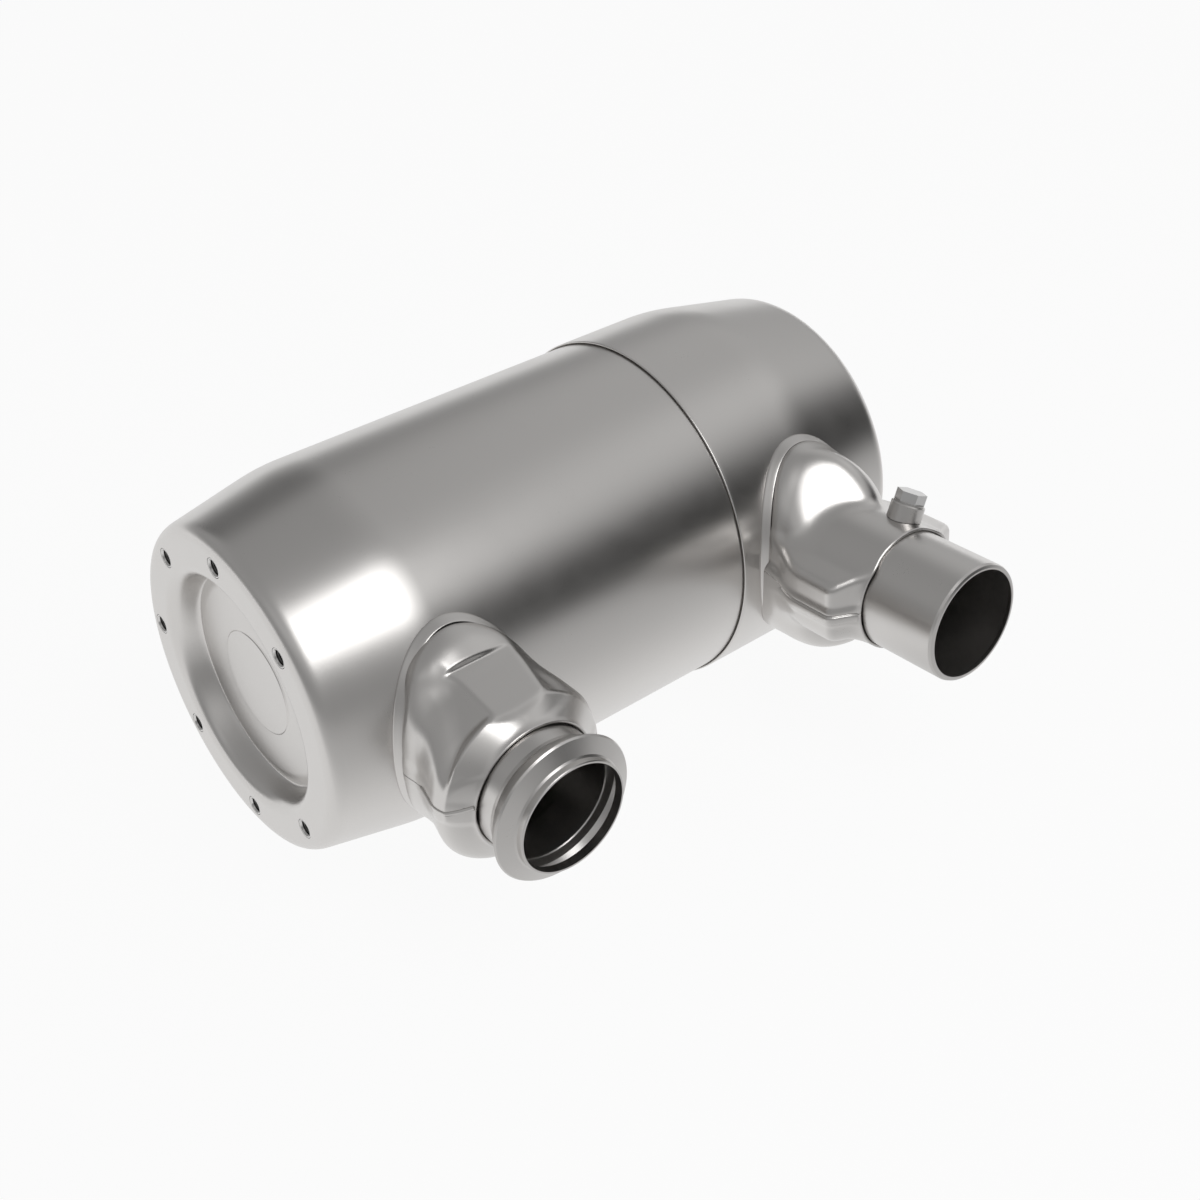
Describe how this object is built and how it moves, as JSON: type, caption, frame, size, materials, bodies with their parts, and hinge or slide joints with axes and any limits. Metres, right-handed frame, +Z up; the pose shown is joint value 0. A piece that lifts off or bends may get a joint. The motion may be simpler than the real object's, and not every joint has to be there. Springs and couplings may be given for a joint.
{
  "type": "scr catalytic converter",
  "caption": "Horizontal stainless exhaust catalyst canister with tapered ends, a flanged side inlet, a plain side outlet pipe and a recessed bolt-on end face.",
  "frame": {"origin": "centre of the bolted left end face, on the canister axis", "axes": "+X along the canister axis from the bolted end to the plain end; -Y is the direction of the inlet pipe; +Z up"},
  "size_m": [0.592, 0.4945, 0.316],
  "materials": {
    "left_shell": "satin bead-blasted stainless steel",
    "left_head": "satin bead-blasted stainless steel",
    "right_shell": "satin bead-blasted stainless steel",
    "right_head": "satin bead-blasted stainless steel",
    "inlet_saddle": "satin bead-blasted stainless steel",
    "outlet_saddle": "satin bead-blasted stainless steel",
    "inlet_hood_upper": "satin bead-blasted stainless steel",
    "inlet_hood_lower": "satin bead-blasted stainless steel",
    "outlet_hood_upper": "satin bead-blasted stainless steel",
    "outlet_hood_lower": "satin bead-blasted stainless steel",
    "inlet_stub": "satin bead-blasted stainless steel",
    "inlet_flange": "satin bead-blasted stainless steel",
    "outlet_pipe": "satin bead-blasted stainless steel",
    "end_inserts": "machined stainless steel",
    "sensor_boss": "machined stainless steel",
    "sensor_plug": "machined stainless steel",
    "plug_gasket": "flat steel washer",
    "inner_can": "plain stainless sheet",
    "bulkhead_front": "plain stainless sheet",
    "bulkhead_rear": "plain stainless sheet",
    "inlet_baffle": "plain stainless sheet",
    "ring_front": "pressed wire mesh",
    "ring_rear": "pressed wire mesh",
    "spacer_ring": "pressed wire mesh",
    "brick_front": "coated honeycomb ceramic",
    "brick_rear": "coated honeycomb ceramic",
    "mat_front": "ceramic fibre mat",
    "mat_rear": "ceramic fibre mat",
    "insulation": "ceramic fibre mat"
  },
  "bodies": {
    "root": {"left_shell": "left_shell", "left_head": "left_head", "right_shell": "right_shell", "right_head": "right_head", "inlet_saddle": "inlet_saddle", "outlet_saddle": "outlet_saddle", "inlet_hood_upper": "inlet_hood_upper", "inlet_hood_lower": "inlet_hood_lower", "outlet_hood_upper": "outlet_hood_upper", "outlet_hood_lower": "outlet_hood_lower", "inlet_stub": "inlet_stub", "inlet_flange": "inlet_flange", "outlet_pipe": "outlet_pipe", "end_inserts": "end_inserts", "sensor_boss": "sensor_boss", "sensor_plug": "sensor_plug", "plug_gasket": "plug_gasket", "inner_can": "inner_can", "bulkhead_front": "bulkhead_front", "bulkhead_rear": "bulkhead_rear", "inlet_baffle": "inlet_baffle", "ring_front": "ring_front", "ring_rear": "ring_rear", "spacer_ring": "spacer_ring", "brick_front": "brick_front", "brick_rear": "brick_rear", "mat_front": "mat_front", "mat_rear": "mat_rear", "insulation": "insulation"}
  },
  "joints": []
}
